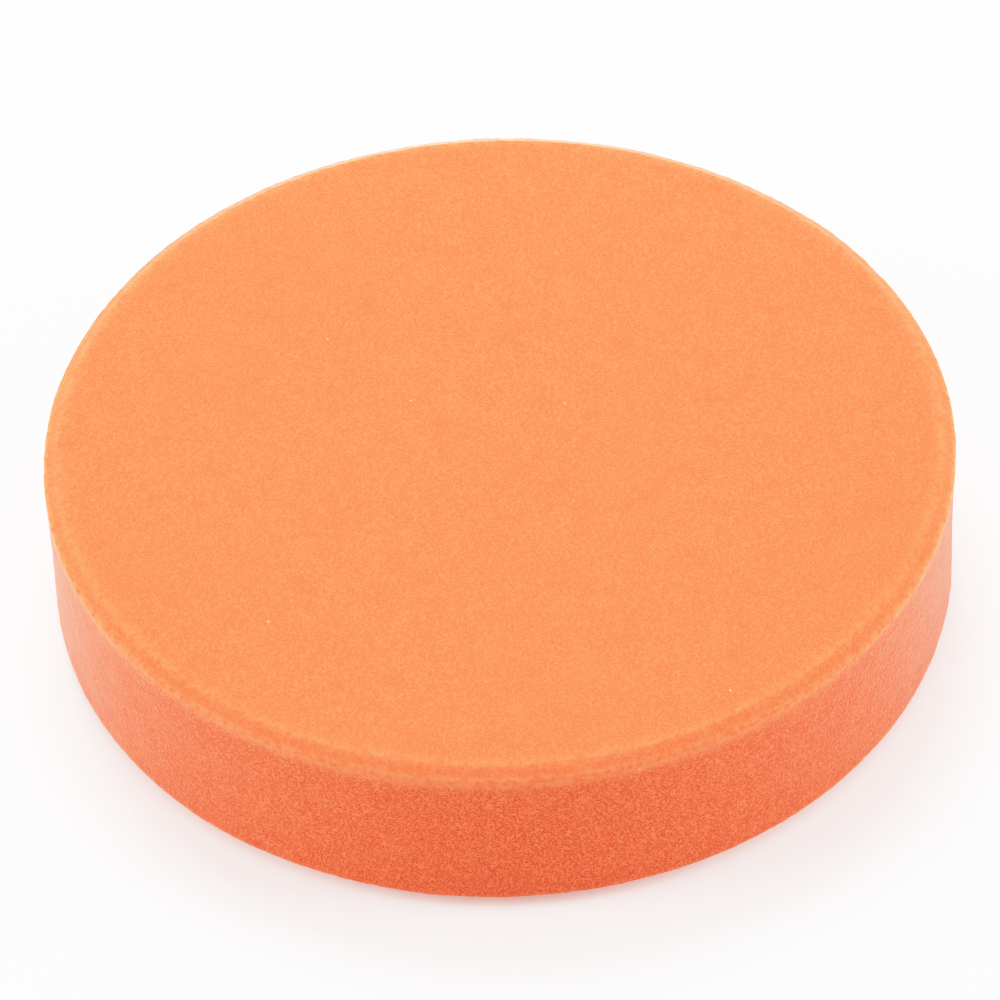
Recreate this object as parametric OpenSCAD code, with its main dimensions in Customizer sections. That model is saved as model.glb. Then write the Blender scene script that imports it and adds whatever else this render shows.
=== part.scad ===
// Round foam polishing pad with a hook-and-loop back.
// The pad lies on its loop face at z = 0, working face up, and its axis is +Z.
// From the surface up: loop pile, knitted ground, bonding film, foam disc.

/* [Foam disc] */
// Diameter of the foam at its cut edge
foam_d = 160; // [80:1:220]
// Height of the foam, from its glued underside to the working face
foam_h = 31; // [15:1:50]
// Width of the bevel around the flat working face
bevel_w = 2.5; // [2:0.1:8]
// How far the bevel has dropped where it meets the cut wall
bevel_drop = 1.5; // [0.8:0.1:4]
// Radius of the soft bend between the working face and the bevel
bend_r = 1.5; // [0.3:0.1:3]
// Radius of the edge between the bevel and the cut wall
edge_r = 0.8; // [0.2:0.1:1]
// How far the cut wall is dished in at mid-height
wall_dish = 0.15; // [0.05:0.05:1.5]
// Radius of the edge between the cut wall and the underside
foot_r = 0.8; // [0.3:0.1:2]

/* [Hook-and-loop back] */
// How far the foam reaches past the loop fabric, all round
foam_overhang = 5; // [2:0.5:15]
// Thickness of the hot-melt film that bonds the fabric to the foam
film_t = 0.3; // [0.1:0.05:0.8]
// How far the film has squeezed out past the fabric's cut edge
film_squeeze = 0.4; // [0.1:0.1:1.5]
// Thickness of the fabric's knitted ground
ground_t = 0.6; // [0.3:0.1:1.5]
// Height of the raised loops under the ground
pile_h = 1.6; // [0.8:0.1:3]
// How far the loops stop short of the fabric's cut edge
pile_margin = 0.5; // [0.1:0.1:2]

/* [Hidden] */
$fn = 180;
// Straight steps in each curved stretch of the foam's outline
steps = 10;

// Radii
foam_r = foam_d / 2;
ground_r = foam_r - foam_overhang;
film_r = ground_r + film_squeeze;
pile_r = ground_r - pile_margin;

// Heights of each layer's underside, and of the working face
ground_z = pile_h;
film_z = ground_z + ground_t;
foam_z = film_z + film_t;
face_z = foam_z + foam_h;

// The bevel's tilt, and how far each rounding eats into the lines that it joins
bevel_tilt = atan(bevel_drop / bevel_w);
bend_cut = bend_r * tan(bevel_tilt / 2);
edge_cut = edge_r * tan((90 - bevel_tilt) / 2);

// Heights between which the cut wall runs
wall_top_z = face_z - bevel_drop - edge_cut;
wall_foot_z = foam_z + foot_r;

// Points on an arc about centre, from angle a to angle b
function arc(centre, r, a, b) =
    [for (i = [0:steps])
        let (angle = a + (b - a) * i / steps)
        centre + r * [cos(angle), sin(angle)]];

// Points on the cut wall between its two end points, dished in along a parabola
function wall() =
    [for (i = [1:steps - 1])
        let (t = i / steps)
        [foam_r - 4 * wall_dish * t * (1 - t), wall_foot_z + (wall_top_z - wall_foot_z) * t]];

// One round, flat layer of the back
module layer(r, z, t) {
    translate([0, 0, z])
        cylinder(r = r, h = t);
}

module foam_disc() {
    color([0.99, 0.6, 0.36])
        rotate_extrude()
            polygon(concat(
                [[0, foam_z]],
                arc([foam_r - foot_r, wall_foot_z], foot_r, -90, 0),
                wall(),
                arc([foam_r - edge_r, wall_top_z], edge_r, 0, 90 - bevel_tilt),
                arc([foam_r - bevel_w - bend_cut, face_z - bend_r], bend_r, 90 - bevel_tilt, 90),
                [[0, face_z]]
            ));
}

module bond_film() {
    color([0.93, 0.88, 0.74])
        layer(film_r, film_z, film_t);
}

module loop_ground() {
    color([0.9, 0.9, 0.88])
        layer(ground_r, ground_z, ground_t);
}

module loop_pile() {
    color([0.95, 0.95, 0.94])
        layer(pile_r, 0, pile_h);
}

foam_disc();
bond_film();
loop_ground();
loop_pile();
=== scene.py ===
import math
import random

import bpy
from mathutils import Matrix, Vector, noise


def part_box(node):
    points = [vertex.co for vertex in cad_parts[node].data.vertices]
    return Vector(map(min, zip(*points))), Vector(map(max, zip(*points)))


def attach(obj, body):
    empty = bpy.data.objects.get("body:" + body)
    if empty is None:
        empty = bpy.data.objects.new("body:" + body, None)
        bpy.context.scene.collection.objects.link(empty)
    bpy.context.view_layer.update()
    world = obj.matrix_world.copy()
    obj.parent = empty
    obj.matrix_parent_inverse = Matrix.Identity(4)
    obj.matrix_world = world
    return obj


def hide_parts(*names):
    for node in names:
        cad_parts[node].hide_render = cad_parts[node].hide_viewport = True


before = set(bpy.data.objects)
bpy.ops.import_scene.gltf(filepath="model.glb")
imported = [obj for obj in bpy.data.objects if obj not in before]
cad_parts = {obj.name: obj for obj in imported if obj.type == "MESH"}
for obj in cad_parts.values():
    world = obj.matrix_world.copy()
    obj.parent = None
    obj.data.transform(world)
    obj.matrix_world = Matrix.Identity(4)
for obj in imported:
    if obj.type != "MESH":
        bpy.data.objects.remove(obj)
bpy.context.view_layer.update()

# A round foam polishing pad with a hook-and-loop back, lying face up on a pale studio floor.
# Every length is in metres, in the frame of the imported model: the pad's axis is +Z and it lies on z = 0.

MM = 0.001
FOAM_LOW, FOAM_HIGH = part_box("foam_disc")
FILM_LOW, FILM_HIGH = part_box("bond_film")
GROUND_LOW, GROUND_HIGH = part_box("loop_ground")
PILE_LOW, PILE_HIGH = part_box("loop_pile")


# ---------------------------------------------------------------- meshes

def make_object(name, corners, faces, material, edge_glow_and_tear=None):
    """A smooth-shaded mesh object, with a value of painted edge glow and tearing for each corner where
    there is one.
    """
    mesh = bpy.data.meshes.new(name)
    mesh.from_pydata(corners, [], faces)
    mesh.polygons.foreach_set("use_smooth", [True] * len(mesh.polygons))
    if edge_glow_and_tear:
        mesh.attributes.new("edge_glow_and_tear", "FLOAT", "POINT").data.foreach_set("value", edge_glow_and_tear)
    mesh.materials.append(material)
    mesh.update()
    piece = bpy.data.objects.new(name, mesh)
    bpy.context.scene.collection.objects.link(piece)
    return piece


def arc(centre, radius, start, end, steps):
    """Points (radius, height) on an arc about centre, from angle start to angle end in degrees."""
    points = []
    for i in range(steps + 1):
        angle = math.radians(start + (end - start) * i / steps)
        points.append((centre[0] + radius * math.cos(angle), centre[1] + radius * math.sin(angle)))
    return points


def stretch(start, end, steps, bow=0.0):
    """Points between start and end, ends left out, bowed towards the axis by bow at half-way."""
    points = []
    for i in range(1, steps):
        t = i / steps
        points.append((start[0] + (end[0] - start[0]) * t - 4 * bow * t * (1 - t),
                       start[1] + (end[1] - start[1]) * t))
    return points


def rings(radius, shares, height):
    """Points at those shares of the radius, all at one height."""
    return [(radius * share, height) for share in shares]


def glow_and_tear_near(point, spots):
    """Painted edge glow and tearing at a point of the outline, from spots (middle, peak, reach across,
    reach up and down).
    """
    most = 0.0
    for middle, peak, across, upright in spots:
        away = ((point[0] - middle[0]) / across) ** 2 + ((point[1] - middle[1]) / upright) ** 2
        most = max(most, peak * math.exp(-away))
    return most


def rough(point, size, depth):
    """Smooth noise in space, lumps of that size standing up to about depth off zero."""
    return noise.noise(point / size) * depth


def lathe(name, outline, around, material, lift, spots=()):
    """A closed skin turned about Z. outline holds (radius, height) from the axis underneath to the axis on
    top, spots are its places of painted edge glow and tearing, and lift(point, glow_and_tear) says how far
    a corner stands off the outline."""
    inner = outline[1:-1]
    corners = [(0.0, 0.0, outline[0][1])]
    edge_glow_and_tear = [0.0]
    for row, (radius, height) in enumerate(inner, start=1):
        glow_and_tear = glow_and_tear_near((radius, height), spots)
        before, after = outline[row - 1], outline[row + 1]
        run, rise = after[0] - before[0], after[1] - before[1]
        length = math.hypot(run, rise)
        for i in range(around):
            angle = 2 * math.pi * i / around
            out = Vector((math.cos(angle), math.sin(angle), 0.0))
            point = out * radius + Vector((0.0, 0.0, height))
            normal = out * (rise / length) - Vector((0.0, 0.0, run / length))
            corners.append(point + normal * lift(point, glow_and_tear))
            edge_glow_and_tear.append(glow_and_tear)
    corners.append((0.0, 0.0, outline[-1][1]))
    edge_glow_and_tear.append(0.0)

    faces = [(0, 1 + (i + 1) % around, 1 + i) for i in range(around)]
    for row in range(len(inner) - 1):
        low, high = 1 + row * around, 1 + (row + 1) * around
        for i in range(around):
            j = (i + 1) % around
            faces.append((low + i, low + j, high + j, high + i))
    last, top = 1 + (len(inner) - 1) * around, len(corners) - 1
    faces += [(last + i, last + (i + 1) % around, top) for i in range(around)]
    return make_object(name, corners, faces, material, edge_glow_and_tear)


# ---------------------------------------------------------------- material nodes

def add(tree, kind, inputs, **settings):
    """A node with its settings, and its inputs given as values or as the sockets that feed them."""
    node = tree.nodes.new(kind)
    for key, value in settings.items():
        setattr(node, key, value)
    for key, value in inputs.items():
        if isinstance(value, bpy.types.NodeSocket):
            tree.links.new(value, node.inputs[key])
        else:
            node.inputs[key].default_value = value
    return node


def place(tree):
    """The socket that gives the place on the piece, in metres."""
    return add(tree, "ShaderNodeTexCoord", {}).outputs["Object"]


def grain(tree, size, detail=3.0, roughness=0.5):
    """Cloudy noise of that size in metres, about 0.5."""
    return add(tree, "ShaderNodeTexNoise",
               {"Vector": place(tree), "Scale": 1 / size, "Detail": detail,
                "Roughness": roughness}).outputs["Fac"]


def cells(tree, size):
    """Distance from the middle of the nearest cell, in cells of that size in metres."""
    return add(tree, "ShaderNodeTexVoronoi",
               {"Vector": place(tree), "Scale": 1 / size, "Randomness": 1.0}).outputs["Distance"]


def spread(tree, value, low, high, out_low=0.0, out_high=1.0):
    """value taken smoothly from low..high to out_low..out_high."""
    return add(tree, "ShaderNodeMapRange",
               {"Value": value, "From Min": low, "From Max": high, "To Min": out_low, "To Max": out_high},
               interpolation_type="SMOOTHSTEP").outputs["Result"]


def maths(tree, operation, a, b=0.0):
    """The result of one Math node; b is left at 0 for an operation on a alone."""
    return add(tree, "ShaderNodeMath", {0: a, 1: b}, operation=operation).outputs["Value"]


def blend(tree, factor, a, b):
    """Colour a where factor is 0, and b where it is 1."""
    node = add(tree, "ShaderNodeMix", {}, data_type="RGBA")
    for socket, value in ((node.inputs[0], factor), (node.inputs[6], a), (node.inputs[7], b)):
        if isinstance(value, bpy.types.NodeSocket):
            tree.links.new(value, socket)
        else:
            socket.default_value = value
    return node.outputs[2]


def bump(tree, height, depth, strength):
    """The normal of a surface whose height runs from 0 to 1 over that depth in metres."""
    return add(tree, "ShaderNodeBump",
               {"Height": height, "Distance": depth, "Strength": strength}).outputs["Normal"]


def new_material(name, **constants):
    """A material, its node tree and its shader, with these constants on the shader's own sockets."""
    material = bpy.data.materials.new(name)
    material.use_nodes = True
    shader = material.node_tree.nodes["Principled BSDF"]
    for key, value in constants.items():
        shader.inputs[key.replace("_", " ")].default_value = value
    return material, material.node_tree, shader


def finish_material(material, tree, shader, colour, normal, roughness=None):
    """Links what varies over the surface to the shader."""
    tree.links.new(colour, shader.inputs["Base Color"])
    tree.links.new(normal, shader.inputs["Normal"])
    if roughness:
        tree.links.new(roughness, shader.inputs["Roughness"])
    return material


# ---------------------------------------------------------------- foam

# The foam's outline, as in the CAD model
BEVEL_WIDTH = 2.5 * MM
BEVEL_DROP = 1.5 * MM
BEND_RADIUS = 1.5 * MM
EDGE_RADIUS = 0.8 * MM
WALL_DISH = 0.15 * MM
FOOT_RADIUS = 0.8 * MM

# How finely it is cut into faces: round the axis, along each stretch of the outline, and where the rings
# of the underside (as shares of the radius) and of the working face lie
FOAM_AROUND = 720
FOOT_STEPS, WALL_STEPS, EDGE_STEPS, BEVEL_STEPS, BEND_STEPS = 4, 40, 6, 5, 4
UNDER_RINGS = (0.0, 0.3, 0.6, 0.8, 0.9, 0.94, 0.955, 0.97, 0.98)
FIRST_RING_GAP = 0.8 * MM
RIM_RING_GAP = 1.0 * MM
EXTRA_RING_GAP = 2.0 * MM
LAST_RING = 2.0 * MM

# Painted edge glow and tearing, at its peak on the wall's corner, the bend at the face and the foot, and
# how far
# # each reaches; the glow is a pale colour standing in for light caught by and passed through the foam's
# thin edges
EDGE_GLOW_AND_TEAR, EDGE_GLOW_AND_TEAR_ACROSS, EDGE_GLOW_AND_TEAR_DOWN = 0.85, 0.8 * MM, 1.7 * MM
BEND_GLOW_AND_TEAR, BEND_GLOW_AND_TEAR_REACH = 0.5, 1.2 * MM
FOOT_GLOW_AND_TEAR, FOOT_GLOW_AND_TEAR_REACH = 0.4, 0.8 * MM

# Size and depth of the die's long waves, of the ripple, and of the torn cells, which are deeper where the
# edges tear
WAVE_SIZE, WAVE_DEPTH = 24.0 * MM, 0.16 * MM
RIPPLE_SIZE, RIPPLE_DEPTH = 5.0 * MM, 0.07 * MM
TORN_SIZE, TORN_DEPTH, TORN_WORN = 1.3 * MM, 0.05 * MM, 0.07 * MM
# The glued underside is left flat up to this height
FLAT_BELOW = 0.1 * MM

# Foam colours: the body is the foam's own colour; the sawn colour, darker and redder, is partly the cut
# wall's own and partly painted shade; the pit and deep colours are painted shade in the cells' hollows,
# the pit colour also the darker tone of the clouds; the strut and tip colours are painted highlights on
# the struts, the strut colour also the lighter tone of the clouds; the pale edge colour is a painted glow
# along the edges; lint is specks of lint
FOAM_BODY = (0.95, 0.166, 0.057, 1.0)
FOAM_SAWN_AND_SHADED = (0.85, 0.124, 0.042, 1.0)
FOAM_STRUT_HIGHLIGHT_AND_LIGHT_TONE = (1.00, 0.205, 0.083, 1.0)
FOAM_PIT_SHADE_AND_DARK_TONE = (0.82, 0.130, 0.043, 1.0)
FOAM_DEEP_PIT_SHADE = (0.50, 0.050, 0.012, 1.0)
FOAM_TIP_HIGHLIGHT = (1.00, 0.225, 0.092, 1.0)
FOAM_PAINTED_EDGE_GLOW = (1.00, 0.260, 0.106, 1.0)
LINT = (0.95, 0.72, 0.55, 1.0)

# The upward part of the normal where a face still counts as flat, and where it is fully a sawn side, whose
# # colour is partly its own and partly painted shade
FLAT_UPWARD, SIDE_UPWARD = 0.95, 0.3
# Painted edge glow and tearing that hides the sawn look altogether
GLOW_AND_TEAR_HIDES_SAWN = 0.9

# Fine cells, their pits darkened as painted shade and their struts lightened as painted highlights: pits
# end and
# # struts begin at these distances from a cell's middle, in cells
CELL = 0.38 * MM
PIT_EDGE = (0.1, 0.5)
STRUT_EDGE = (0.45, 0.75)
STRUT_SHARE = 0.8
# Larger pores among them, also darkened as painted shade
PORE = 0.95 * MM
PORE_EDGE = (0.05, 0.25)
PORE_SHARE = 0.35
PORE_DEPTH = 0.5
# Clouds in the colour: the noise's bands that are darker and lighter, and by how much
CLOUD = 5.0 * MM
CLOUD_DARK = (0.55, 0.75)
CLOUD_LIGHT = (0.25, 0.45)
CLOUD_SHARE = 0.25
# Patches in the painted edge glow
PATCH = 1.1 * MM
PATCH_EDGE = (0.35, 0.6)
PATCH_LEAST = 0.15
# Specks of lint
LINT_APART = 12.0 * MM
LINT_EDGE = (0.010, 0.020)
LINT_SHARE = 0.6
# Strength of the bump on the flat faces and on the sawn wall
BUMP_FACE, BUMP_WALL = 0.28, 0.34


def cut_side(tree, glow_and_tear):
    """1 where the surface faces sideways, as the sawn wall does, and 0 on the smooth flat faces and along
    the edges' painted glow and tearing."""
    normal = add(tree, "ShaderNodeTexCoord", {}).outputs["Normal"]
    upward = add(tree, "ShaderNodeSeparateXYZ", {"Vector": normal}).outputs["Z"]
    sideways = spread(tree, maths(tree, "ABSOLUTE", upward), FLAT_UPWARD, SIDE_UPWARD)
    return maths(tree, "MULTIPLY", sideways, spread(tree, glow_and_tear, 0.0, GLOW_AND_TEAR_HIDES_SAWN, 1.0, 0.0))


def foam_material():
    """Open-cell polyurethane foam: fine pits between lighter struts, with painted shade darkening the pits
    and painted highlights lightening the struts, deeper on the sawn wall, whose darker, redder colour is
    partly its own and partly painted shade; cloudy from place to place, a little translucent, with a
    painted pale glow along the bevel's edges and a few specks of lint."""
    material, tree, shader = new_material(
        "foam", Roughness=0.95, Specular_IOR_Level=0.05, Subsurface_Weight=0.35,
        Subsurface_Radius=(1.0, 0.4, 0.25), Subsurface_Scale=3.0 * MM,
        Sheen_Weight=0.86, Sheen_Roughness=0.28, Sheen_Tint=(1.0, 0.95, 0.92, 1.0))
    glow_and_tear = add(tree, "ShaderNodeAttribute", {}, attribute_name="edge_glow_and_tear").outputs["Fac"]
    cut = cut_side(tree, glow_and_tear)
    pit = cells(tree, CELL)
    pore = cells(tree, PORE)

    # Pits darkened as painted shade and struts lightened as painted highlights, more strongly on the sawn
    # wall
    hollow_shade = blend(tree, cut, FOAM_PIT_SHADE_AND_DARK_TONE, FOAM_DEEP_PIT_SHADE)
    # The sawn wall's body colour is darker and redder, partly its own and partly painted shade of the
    # dimly lit wall
    body = blend(tree, cut, FOAM_BODY, FOAM_SAWN_AND_SHADED)
    ridge_highlight = blend(tree, cut, FOAM_STRUT_HIGHLIGHT_AND_LIGHT_TONE, FOAM_TIP_HIGHLIGHT)
    colour = blend(tree, spread(tree, pit, *PIT_EDGE), hollow_shade, body)
    colour = blend(tree, spread(tree, pit, *STRUT_EDGE, 0.0, STRUT_SHARE), colour, ridge_highlight)
    colour = blend(tree, spread(tree, pore, *PORE_EDGE, PORE_SHARE, 0.0), colour, hollow_shade)

    cloud = grain(tree, CLOUD)
    colour = blend(tree, spread(tree, cloud, *CLOUD_DARK, 0.0, CLOUD_SHARE), colour, FOAM_PIT_SHADE_AND_DARK_TONE)
    colour = blend(tree, spread(tree, cloud, *CLOUD_LIGHT, CLOUD_SHARE, 0.0), colour, FOAM_STRUT_HIGHLIGHT_AND_LIGHT_TONE)

    # Painted edge glow: a pale colour in patches along the corner, bend and foot, standing in for light
    # caught by and passed through the foam's thin edges
    patch = spread(tree, grain(tree, PATCH), *PATCH_EDGE, PATCH_LEAST, 1.0)
    colour = blend(tree, maths(tree, "MULTIPLY", glow_and_tear, patch), colour, FOAM_PAINTED_EDGE_GLOW)
    speck = spread(tree, cells(tree, LINT_APART), *LINT_EDGE, LINT_SHARE, 0.0)
    colour = blend(tree, speck, colour, LINT)

    depth = maths(tree, "ADD", pit, maths(tree, "MULTIPLY", pore, PORE_DEPTH))
    normal = bump(tree, depth, CELL, spread(tree, cut, 0.0, 1.0, BUMP_FACE, BUMP_WALL))
    return finish_material(material, tree, shader, colour, normal)


def foam_outline():
    """The outline from the middle of the underside, out and round the wall, to the middle of the working
    face, and its spots of painted edge glow and tearing: the corner of the wall, the bend at the face and
    the foot."""
    low, high = FOAM_LOW, FOAM_HIGH
    radius = high.x
    tilt = math.atan(BEVEL_DROP / BEVEL_WIDTH)
    lean = math.degrees(tilt)
    wall_top = high.z - BEVEL_DROP - EDGE_RADIUS * math.tan((math.pi / 2 - tilt) / 2)
    wall_foot = low.z + FOOT_RADIUS
    bend_centre = radius - BEVEL_WIDTH - BEND_RADIUS * math.tan(tilt / 2)

    under = rings(radius, UNDER_RINGS, low.z)
    foot = arc((radius - FOOT_RADIUS, wall_foot), FOOT_RADIUS, -90, 0, FOOT_STEPS)
    edge = arc((radius - EDGE_RADIUS, wall_top), EDGE_RADIUS, 0, 90 - lean, EDGE_STEPS)
    bend = arc((bend_centre, high.z - BEND_RADIUS), BEND_RADIUS, 90 - lean, 90, BEND_STEPS)
    wall = stretch(foot[-1], edge[0], WALL_STEPS, WALL_DISH)
    bevel = stretch(edge[-1], bend[0], BEVEL_STEPS)
    face = []
    ring = bend[-1][0] - FIRST_RING_GAP
    while ring > LAST_RING:
        face.append((ring, high.z))
        ring -= RIM_RING_GAP + EXTRA_RING_GAP * (1 - ring / radius)
    outline = under + foot + wall + edge + bevel + bend + face + [(0.0, high.z)]

    spots = [(edge[EDGE_STEPS // 2], EDGE_GLOW_AND_TEAR, EDGE_GLOW_AND_TEAR_ACROSS, EDGE_GLOW_AND_TEAR_DOWN),
             (bend[BEND_STEPS // 2], BEND_GLOW_AND_TEAR, BEND_GLOW_AND_TEAR_REACH, BEND_GLOW_AND_TEAR_REACH),
             (foot[FOOT_STEPS // 2], FOOT_GLOW_AND_TEAR, FOOT_GLOW_AND_TEAR_REACH, FOOT_GLOW_AND_TEAR_REACH)]
    return outline, spots


def foam_lift(point, glow_and_tear):
    """How far the cut foam stands off its true outline: long waves from the die, and torn cells, which are
    most ragged at the spots of edge glow and tearing. The glued underside stays flat."""
    if point.z < FOAM_LOW.z + FLAT_BELOW:
        return 0.0
    return (rough(point, WAVE_SIZE, WAVE_DEPTH) + rough(point, RIPPLE_SIZE, RIPPLE_DEPTH)
            + rough(point, TORN_SIZE, TORN_DEPTH + TORN_WORN * glow_and_tear))


def make_foam():
    outline, spots = foam_outline()
    foam = lathe("foam", outline, FOAM_AROUND, foam_material(), foam_lift, spots)
    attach(foam, "root")
    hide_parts("foam_disc")


# ---------------------------------------------------------------- bonding film

FILM_AROUND = 480
FILM_RINGS = (0.0, 0.5, 0.9, 0.985)
FILM_BEAD_STEPS = 6
FILM_DARK = (0.74, 0.60, 0.34, 1.0)
FILM_LIGHT = (0.82, 0.72, 0.50, 1.0)
FILM_CLOUD = 2.0 * MM
FILM_CLOUD_EDGE = (0.3, 0.7)
FILM_ROUGHNESS = (0.25, 0.45)
FILM_BUMP_DEPTH, FILM_BUMP = 0.3 * MM, 0.5

# The width of rim where the squeezed-out bead comes and goes, and the size and depth of its lumps
BEAD_RIM = 1.0 * MM
BEAD_SIZE, BEAD_DEPTH = 3.0 * MM, 0.15 * MM


def film_material():
    """Hot-melt adhesive, waxy and slightly yellow."""
    material, tree, shader = new_material(
        "film", Specular_IOR_Level=0.45, Subsurface_Weight=0.4,
        Subsurface_Radius=(1.0, 0.8, 0.5), Subsurface_Scale=1.0 * MM)
    cloud = grain(tree, FILM_CLOUD)
    colour = blend(tree, spread(tree, cloud, *FILM_CLOUD_EDGE), FILM_DARK, FILM_LIGHT)
    roughness = spread(tree, cloud, *FILM_CLOUD_EDGE, *FILM_ROUGHNESS)
    normal = bump(tree, cloud, FILM_BUMP_DEPTH, FILM_BUMP)
    return finish_material(material, tree, shader, colour, normal, roughness)


def film_lift(point, glow_and_tear):
    """The film is flat but for the bead at its rim."""
    if point.xy.length < FILM_HIGH.x - BEAD_RIM:
        return 0.0
    return rough(point, BEAD_SIZE, BEAD_DEPTH)


def make_film():
    low, high = FILM_LOW, FILM_HIGH
    bead = (high.z - low.z) / 2
    rim = high.x - bead
    outline = (rings(rim, FILM_RINGS, low.z)
               + arc((rim, low.z + bead), bead, -90, 90, FILM_BEAD_STEPS)
               + rings(rim, reversed(FILM_RINGS), high.z))
    film = lathe("film", outline, FILM_AROUND, film_material(), film_lift)
    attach(film, "root")
    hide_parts("bond_film")


# ---------------------------------------------------------------- loop fabric

# The size of the mottle where the polyester's fibres bunch, and of its fine filaments
BUNCH = 1.6 * MM
HAIR = 0.25 * MM
TONE_EDGE = (0.35, 0.6)
FABRIC_DARK = (0.72, 0.72, 0.69)
FABRIC_LIGHT = (1.0, 1.0, 0.98)
FABRIC_BUMP = 0.8

GROUND_SHADE, GROUND_BUMP_DEPTH = 0.78, 0.15 * MM
GROUND_AROUND = 600
GROUND_RINGS = (0.0, 0.3, 0.6, 0.85, 0.97, 0.995)
GROUND_HEM = 0.1 * MM
FRAY_SIZE, FRAY_DEPTH = 1.5 * MM, 0.04 * MM

# The loops: how far apart their rows and the loops along a row are, and the ranges they are drawn from
WALE = 1.25 * MM
COURSE = 0.9 * MM
JITTER = 0.3 * MM
LOOP_HEIGHT = (0.62, 0.93)
LOOP_SPAN = (0.7 * MM, 1.5 * MM)
LOOP_TURN = 0.8
LOOP_LEAN = (0.1, 0.8)
LOOP_STEPS = 7
LOOP_FULLNESS = 0.8
BARE_RIM = 0.8 * MM
SEED = 7
YARN = 0.2 * MM
YARN_SIDES = 3
YARN_SHADE, YARN_BUMP_DEPTH = 0.88, 0.06 * MM
# A direction that no loop runs along
OFF_YARN = Vector((0.31, 0.17, 0.93))

# The nap that the loops stand in: its depth as a share of the pile's height, its rings as shares of its
# radius, how fast it thins out at the rim, and the gap that keeps its flat side off the ground
NAP_SHARE = 0.5
NAP_AROUND = 360
NAP_RINGS = [i / 60 for i in range(60)] + [0.985, 0.99, 0.995]
NAP_BACK_RING = 0.9
NAP_SLOPE = 30
NAP_GAP = 0.01 * MM
NAP_LUMP, NAP_LUMP_DEPTH = 1.3 * MM, 0.22 * MM
NAP_FLAT_ABOVE = 0.1 * MM
NAP_SHADE, NAP_BUMP_DEPTH = 0.8, 0.3 * MM


def fabric_material(name, shade, depth):
    """Off-white polyester: fine filaments, and a slight mottle where the fibres bunch."""
    material, tree, shader = new_material(
        name, Roughness=0.85, Specular_IOR_Level=0.3, Sheen_Weight=0.4, Sheen_Roughness=0.4,
        Sheen_Tint=(1.0, 1.0, 1.0, 1.0))
    bunch = grain(tree, BUNCH)
    hair = grain(tree, HAIR, detail=4.0, roughness=0.7)
    dark = tuple(shade * part for part in FABRIC_DARK) + (1.0,)
    light = tuple(shade * part for part in FABRIC_LIGHT) + (1.0,)
    tone = maths(tree, "ADD", maths(tree, "MULTIPLY", bunch, 0.5), maths(tree, "MULTIPLY", hair, 0.5))
    colour = blend(tree, spread(tree, tone, *TONE_EDGE), dark, light)
    return finish_material(material, tree, shader, colour, bump(tree, hair, depth, FABRIC_BUMP))


def ground_lift(point, glow_and_tear):
    """The knitted ground is slightly uneven, and frayed at its cut edge."""
    return rough(point, FRAY_SIZE, FRAY_DEPTH)


def make_ground():
    """The knitted ground, cut to a disc."""
    low, high = GROUND_LOW, GROUND_HIGH
    radius = high.x
    middle = (low.z + high.z) / 2
    outline = (rings(radius, GROUND_RINGS, low.z)
               + [(radius, low.z + GROUND_HEM), (radius, middle), (radius, high.z - GROUND_HEM)]
               + rings(radius, reversed(GROUND_RINGS), high.z))
    material = fabric_material("ground", GROUND_SHADE, GROUND_BUMP_DEPTH)
    ground = lathe("fabric_ground", outline, GROUND_AROUND, material, ground_lift)
    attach(ground, "root")
    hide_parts("loop_ground")


def loop_path(foot, height, span, heading, lean):
    """One loop of yarn as points from foot to foot: an arch that hangs down and leans over."""
    along = Vector((math.cos(heading), math.sin(heading), 0.0))
    side = Vector((-along.y, along.x, 0.0))
    points = []
    for i in range(LOOP_STEPS + 1):
        t = math.pi * i / LOOP_STEPS
        rise = math.sin(t) ** LOOP_FULLNESS * height
        points.append(foot + along * (-math.cos(t) * span / 2) + side * (rise * lean)
                      - Vector((0.0, 0.0, rise)))
    return points


def sweep_tube(points, thickness, corners, faces):
    """Adds a tube of yarn along points, closed at both ends."""
    start = len(corners)
    for i, point in enumerate(points):
        ahead = points[min(i + 1, len(points) - 1)] - points[max(i - 1, 0)]
        ahead.normalize()
        side = ahead.cross(OFF_YARN).normalized()
        up = side.cross(ahead)
        for k in range(YARN_SIDES):
            angle = 2 * math.pi * k / YARN_SIDES
            corners.append(point + (side * math.cos(angle) + up * math.sin(angle)) * thickness / 2)
    last = len(corners) - YARN_SIDES
    for ring in range(start, last, YARN_SIDES):
        for k in range(YARN_SIDES):
            a, b = ring + k, ring + (k + 1) % YARN_SIDES
            faces.append((a, a + YARN_SIDES, b + YARN_SIDES, b))
    faces.append(tuple(range(start, start + YARN_SIDES)))
    faces.append(tuple(range(last + YARN_SIDES - 1, last - 1, -1)))


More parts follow.
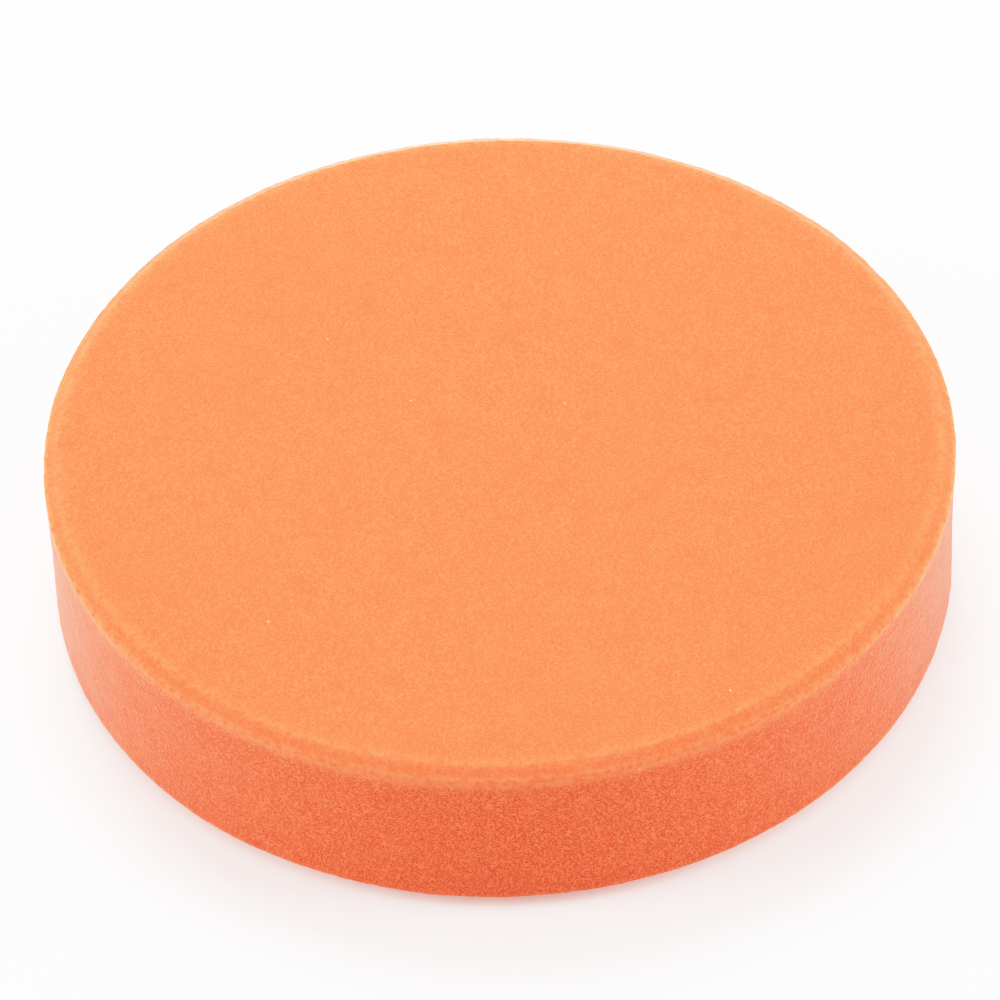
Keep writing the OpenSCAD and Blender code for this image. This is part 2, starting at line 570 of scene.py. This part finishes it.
def make_loops():
    """The raised loops, in rows, as four quarters."""
    low, high = PILE_LOW, PILE_HIGH
    reach = high.x
    full = high.z - low.z
    yarn = fabric_material("pile", YARN_SHADE, YARN_BUMP_DEPTH)
    draw = random.Random(SEED)
    quarters = [([], []) for _ in range(4)]
    for row in range(int(2 * reach / WALE) + 1):
        x = -reach + row * WALE
        for step in range(int(2 * reach / COURSE) + 1):
            y = -reach + (step + 0.5 * (row % 2)) * COURSE
            foot = Vector((x + draw.uniform(-JITTER, JITTER), y + draw.uniform(-JITTER, JITTER), high.z))
            height = full * draw.uniform(*LOOP_HEIGHT)
            span = draw.uniform(*LOOP_SPAN)
            heading = draw.gauss(0.0, LOOP_TURN)
            lean = draw.uniform(*LOOP_LEAN)
            if foot.xy.length > reach - BARE_RIM:
                continue
            corners, faces = quarters[(foot.x > 0) + 2 * (foot.y > 0)]
            sweep_tube(loop_path(foot, height, span, heading, lean), YARN, corners, faces)
    for number, (corners, faces) in enumerate(quarters, start=1):
        loops = make_object(f"fabric_loops_{number}", corners, faces, yarn)
        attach(loops, "root")
        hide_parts("loop_pile")


def nap_lift(point, glow_and_tear):
    """The nap is lumpy on its free side."""
    if point.z > PILE_HIGH.z - NAP_FLAT_ABOVE:
        return 0.0
    return rough(point, NAP_LUMP, NAP_LUMP_DEPTH)


def make_nap():
    """The low nap of fibres that the loops stand in."""
    high = PILE_HIGH
    reach = high.x
    depth = NAP_SHARE * (high.z - PILE_LOW.z)
    outline = [(reach * share, high.z - depth * min(1.0, (1 - share) * NAP_SLOPE)) for share in NAP_RINGS]
    outline += [(reach, high.z - 2 * NAP_GAP)]
    outline += rings(reach, (NAP_BACK_RING, 0.0), high.z - NAP_GAP)
    material = fabric_material("nap", NAP_SHADE, NAP_BUMP_DEPTH)
    nap = lathe("fabric_nap", outline, NAP_AROUND, material, nap_lift)
    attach(nap, "root")
    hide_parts("loop_pile")


# ---------------------------------------------------------------- studio

# The camera, found from the outline of the pad and its rim
CAMERA_DISTANCE = 984.0 * MM
CAMERA_ELEVATION = math.radians(45.425)
CAMERA_ROLL = math.radians(2.254)
CAMERA_LENS = 202.0
CAMERA_SENSOR = 36.0
AIM_RIGHT = 0.171 * MM
AIM_UP = 10.197 * MM

FLOOR_HALF = 4.0
FLOOR_DARK = (0.88, 0.88, 0.88, 1.0)
FLOOR_LIGHT = (0.91, 0.91, 0.91, 1.0)
FLOOR_FLECK = 3.0 * MM
FLOOR_BUMP_DEPTH, FLOOR_BUMP = 0.1 * MM, 0.1

WHITE = (1.0, 1.0, 1.0, 1.0)

# The tent's strength in front and behind, the directions between which it changes, and how much looking
# up counts towards behind
TENT_STRENGTH = (0.05, 1.1)
TENT_EDGE = (-0.9, 0.1)
TENT_UPWARD = 0.5

# Name, place in metres, width in metres and power in watts of each lamp
LAMPS = (("overhead", (-0.08, 0.45, 0.85), 0.5, 6.8),
         ("left", (-1.3, -0.1, 0.5), 0.7, 10.5),
         ("right", (1.3, -0.1, 0.5), 0.7, 10.5))

# The brightest light that the camera tells apart, the one above which its response flattens out, and the
# points that the flattening is drawn through
WHITE_LIGHT = 2.5
KNEE = 0.6
SHOULDER_POINTS = 6
SHOULDER_STEP = 0.25


def make_camera():
    """Looks down at the pad from in front, rolled slightly."""
    target = Vector((0.0, 0.0, FOAM_HIGH.z - BEVEL_DROP))
    sine, cosine = math.sin(CAMERA_ELEVATION), math.cos(CAMERA_ELEVATION)
    right = Vector((1.0, 0.0, 0.0))
    up = Vector((0.0, sine, cosine))
    forward = Vector((0.0, cosine, -sine))
    rolled_right = right * math.cos(CAMERA_ROLL) - up * math.sin(CAMERA_ROLL)
    rolled_up = right * math.sin(CAMERA_ROLL) + up * math.cos(CAMERA_ROLL)

    camera = bpy.data.cameras.new("camera")
    camera.sensor_width = CAMERA_SENSOR
    camera.lens = CAMERA_LENS
    camera.clip_start = 10.0 * MM
    holder = bpy.data.objects.new("camera", camera)
    turn = Matrix((rolled_right, rolled_up, -forward)).transposed()
    spot = target - right * AIM_RIGHT - up * AIM_UP - forward * CAMERA_DISTANCE
    holder.matrix_world = Matrix.Translation(spot) @ turn.to_4x4()
    bpy.context.scene.collection.objects.link(holder)
    bpy.context.scene.camera = holder


def make_world():
    """A white light tent: bright above, at the sides and behind, and darker where the camera looks in."""
    world = bpy.data.worlds.new("tent")
    world.use_nodes = True
    tree = world.node_tree
    direction = add(tree, "ShaderNodeTexCoord", {}).outputs["Generated"]
    axes = add(tree, "ShaderNodeSeparateXYZ", {"Vector": direction}).outputs
    behind = maths(tree, "ADD", axes["Y"], maths(tree, "MULTIPLY", axes["Z"], TENT_UPWARD))
    shader = tree.nodes["Background"]
    shader.inputs["Color"].default_value = WHITE
    tree.links.new(spread(tree, behind, *TENT_EDGE, *TENT_STRENGTH), shader.inputs["Strength"])
    bpy.context.scene.world = world


def make_lights():
    """Disk lamps, all aimed at the pad."""
    for name, spot, size, power in LAMPS:
        light = bpy.data.lights.new(name, "AREA")
        light.shape = "DISK"
        light.size = size
        light.energy = power
        lamp = bpy.data.objects.new(name, light)
        lamp.location = spot
        lamp.rotation_euler = (-Vector(spot)).to_track_quat("-Z", "Y").to_euler()
        bpy.context.scene.collection.objects.link(lamp)


def floor_material():
    """A matte white table top, faintly lit from below so that shadows on it stay soft and pale."""
    material, tree, shader = new_material(
        "floor", Roughness=0.9, Specular_IOR_Level=0.1, Emission_Color=WHITE, Emission_Strength=0.2)
    fleck = grain(tree, FLOOR_FLECK, detail=4.0)
    colour = blend(tree, fleck, FLOOR_DARK, FLOOR_LIGHT)
    return finish_material(material, tree, shader, colour, bump(tree, fleck, FLOOR_BUMP_DEPTH, FLOOR_BUMP))


def make_floor():
    half = FLOOR_HALF
    corners = [(-half, -half, 0.0), (half, -half, 0.0), (half, half, 0.0), (-half, half, 0.0)]
    floor = make_object("floor", corners, [(0, 1, 2, 3)], floor_material())


def set_response():
    """The camera's response: true to the light up to mid-tones, then a soft shoulder, so that brightly lit
    foam keeps its grain instead of clipping."""
    view = bpy.context.scene.view_settings
    view.view_transform = "Standard"
    view.use_curve_mapping = True
    curve = view.curve_mapping
    curve.white_level = (WHITE_LIGHT, WHITE_LIGHT, WHITE_LIGHT)
    combined = curve.curves[3]
    combined.points.new(KNEE / 2 / WHITE_LIGHT, KNEE / 2)
    for step in range(SHOULDER_POINTS):
        light = KNEE + step * SHOULDER_STEP
        shown = KNEE + (1 - KNEE) * (1 - math.exp((KNEE - light) / (1 - KNEE)))
        combined.points.new(light / WHITE_LIGHT, shown)
    curve.update()


make_camera()
make_world()
make_lights()
make_floor()
make_foam()
make_film()
make_ground()
make_loops()
make_nap()
set_response()
